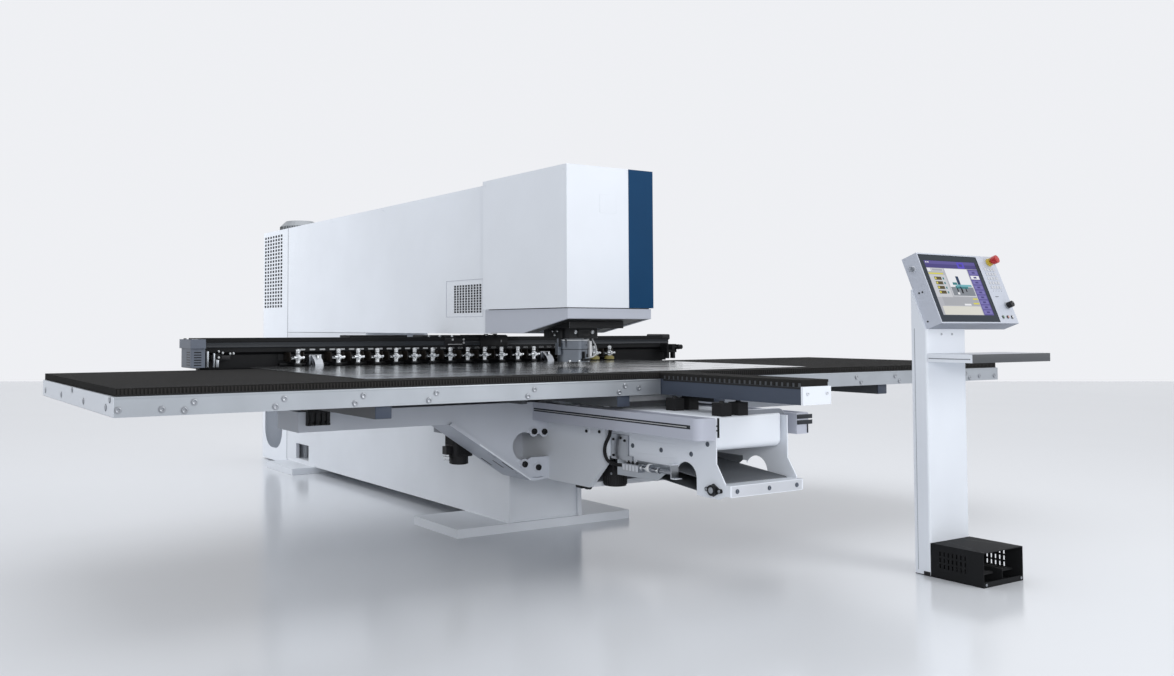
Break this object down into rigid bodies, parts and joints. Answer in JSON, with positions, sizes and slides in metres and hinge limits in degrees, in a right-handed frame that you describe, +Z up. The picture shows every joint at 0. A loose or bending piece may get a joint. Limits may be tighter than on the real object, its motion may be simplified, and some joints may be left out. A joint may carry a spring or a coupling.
{
  "type": "cnc punch press",
  "caption": "C-frame sheet-metal punch press with a sliding brush table, travelling tool magazine beam, part conveyor and a separate operator console.",
  "frame": {"origin": "centre of the front floor plate's underside", "axes": "+X to the machine's right along the table, +Y from the operator to the rear, +Z up"},
  "size_m": [4.95, 5.615, 1.933],
  "materials": {
    "frame_paint": "pale grey powder coat",
    "casing_paint": "white-grey powder coat",
    "blue_paint": "deep blue gloss paint",
    "dark_paint": "black satin paint",
    "steel": "ground steel",
    "bright_steel": "polished steel",
    "cast": "dark housing",
    "aluminium": "satin aluminium",
    "brush": "black brush deck",
    "rubber": "black rubber",
    "belt": "olive-grey belt",
    "black_plastic": "black plastic",
    "white_plastic": "white plastic",
    "screen_glass": "dark screen",
    "red_plastic": "red gloss",
    "silver": "grey metallic fan guard"
  },
  "bodies": {
    "frame": {"c_frame": "frame_paint", "arm_cover": "casing_paint", "head_cover": "casing_paint", "stripe_panel": "blue_paint", "head_chin": "casing_paint", "rear_cover": "casing_paint", "fan_guard": "silver", "ram_cylinder": "steel", "punch_housing": "cast", "die_holder": "steel", "hoses": "rubber", "centre_beam": "dark_paint", "centre_brush": "brush", "extension_end_plate": "casing_paint", "rubber_buffers": "rubber", "left_outrigger": "frame_paint", "right_outrigger": "frame_paint", "guide_carriages": "dark_paint", "guide_channels": "casing_paint", "motors": "black_plastic", "conveyor_frame": "casing_paint", "conveyor_hood": "casing_paint", "conveyor_belt": "belt", "flange_bearings": "dark_paint", "part_slide": "aluminium", "pneumatic_unit": "steel", "console_column": "casing_paint", "console_housing": "casing_paint", "console_screen": "screen_glass", "console_tray": "dark_paint", "pedal_guard": "dark_paint"},
    "table": {"left_table_frame": "aluminium", "right_table_frame": "aluminium", "brush_decks": "brush", "guide_beam": "dark_paint", "y_rails": "dark_paint"},
    "x_carriage": {"x_beam": "dark_paint", "x_end_brackets": "dark_paint", "magazine_tools": "white_plastic", "clamp_bases": "steel", "sheet": "bright_steel"},
    "left_jaw": {"left_clamp_jaw": "steel"},
    "right_jaw": {"right_clamp_jaw": "steel"},
    "ram": {"ram": "bright_steel"},
    "upper_tool": {"upper_tool_holder": "bright_steel"},
    "lower_tool": {"lower_tool_holder": "bright_steel"},
    "hold_down": {"stripper": "steel"},
    "pinion": {"drive_pinion": "steel"},
    "flap": {"part_flap": "dark_paint"},
    "fan": {"fan_rotor": "black_plastic"},
    "front_roller": {"front_roller": "steel"},
    "rear_roller": {"rear_roller": "steel"},
    "e_stop": {"e_stop_button": "red_plastic"},
    "knob": {"override_knob": "black_plastic"},
    "key": {"key_switch": "steel"},
    "start": {"start_button": "black_plastic"},
    "stop": {"stop_button": "black_plastic"},
    "hold": {"hold_button": "black_plastic"},
    "left_pedal": {"left_pedal": "dark_paint"},
    "right_pedal": {"right_pedal": "dark_paint"}
  },
  "joints": [
    {"name": "table_y", "type": "slide", "parent": "frame", "child": "table", "axis": [0, 1, 0], "range_m": [-0.6, 0.6]},
    {"name": "carriage_x", "type": "slide", "parent": "table", "child": "x_carriage", "axis": [1, 0, 0], "range_m": [-1, 1.49]},
    {"name": "left_clamp", "type": "hinge", "parent": "x_carriage", "child": "left_jaw", "pos_m": [-1.104, 0.329, 0.908], "axis": [-1, 0, 0], "range_deg": [0, 18]},
    {"name": "right_clamp", "type": "hinge", "parent": "x_carriage", "child": "right_jaw", "pos_m": [0.378, 0.329, 0.908], "axis": [-1, 0, 0], "range_deg": [0, 18]},
    {"name": "ram_slide", "type": "slide", "parent": "frame", "child": "ram", "axis": [0, 0, -1], "range_m": [0, 0.03]},
    {"name": "upper_rotation", "type": "hinge", "parent": "ram", "child": "upper_tool", "pos_m": [0, -0.451, 1], "axis": [0, 0, 1], "continuous": true},
    {"name": "lower_rotation", "type": "hinge", "parent": "frame", "child": "lower_tool", "pos_m": [0, -0.451, 0.8], "axis": [0, 0, 1], "continuous": true},
    {"name": "hold_down_slide", "type": "slide", "parent": "frame", "child": "hold_down", "axis": [0, 0, -1], "range_m": [0, 0.024]},
    {"name": "pinion_spin", "type": "hinge", "parent": "frame", "child": "pinion", "pos_m": [-0.56, -0.241, 0.73], "axis": [0, 0, 1], "range_deg": [-690, 690]},
    {"name": "flap_hinge", "type": "hinge", "parent": "frame", "child": "flap", "pos_m": [-0.006, -0.611, 0.822], "axis": [1, 0, 0], "range_deg": [0, 35]},
    {"name": "fan_spin", "type": "hinge", "parent": "frame", "child": "fan", "pos_m": [0, 3.229, 1.9], "axis": [0, 0, 1], "continuous": true},
    {"name": "front_roller_spin", "type": "hinge", "parent": "frame", "child": "front_roller", "pos_m": [0, -1.664, 0.407], "axis": [1, 0, 0], "continuous": true},
    {"name": "rear_roller_spin", "type": "hinge", "parent": "frame", "child": "rear_roller", "pos_m": [0, -1.151, 0.458], "axis": [1, 0, 0], "continuous": true},
    {"name": "e_stop_press", "type": "slide", "parent": "frame", "child": "e_stop", "axis": [0, 0.9332, -0.3593], "range_m": [0, 0.006], "stiffness_N_per_m": 1500},
    {"name": "override_turn", "type": "hinge", "parent": "frame", "child": "knob", "pos_m": [1.308, -1.9881, 1.16326], "axis": [0, 0.9332, -0.3593], "range_deg": [-140, 140]},
    {"name": "key_turn", "type": "hinge", "parent": "frame", "child": "key", "pos_m": [0.778, -1.88537, 1.31873], "axis": [1, 0, 0], "range_deg": [0, 90]},
    {"name": "start_press", "type": "slide", "parent": "frame", "child": "start", "axis": [0, 0.9332, -0.3593], "range_m": [0, 0.003], "stiffness_N_per_m": 600},
    {"name": "stop_press", "type": "slide", "parent": "frame", "child": "stop", "axis": [0, 0.9332, -0.3593], "range_m": [0, 0.003], "stiffness_N_per_m": 600},
    {"name": "hold_press", "type": "slide", "parent": "frame", "child": "hold", "axis": [0, 0.9332, -0.3593], "range_m": [0, 0.003], "stiffness_N_per_m": 600},
    {"name": "left_pedal_press", "type": "hinge", "parent": "frame", "child": "left_pedal", "pos_m": [0.83525, -1.984, 0.026], "axis": [1, 0, 0], "range_deg": [0, 8], "stiffness_Nm_per_rad": 14, "springref_deg": -11.46},
    {"name": "right_pedal_press", "type": "hinge", "parent": "frame", "child": "right_pedal", "pos_m": [0.97375, -1.984, 0.026], "axis": [1, 0, 0], "range_deg": [0, 8], "stiffness_Nm_per_rad": 14, "springref_deg": -11.46}
  ],
  "couplings": [
    {"joint": "lower_rotation", "follows": "upper_rotation", "ratio": 1},
    {"joint": "pinion_spin", "follows": "table_y", "rad_per_m": -20},
    {"joint": "rear_roller_spin", "follows": "front_roller_spin", "ratio": 1}
  ]
}
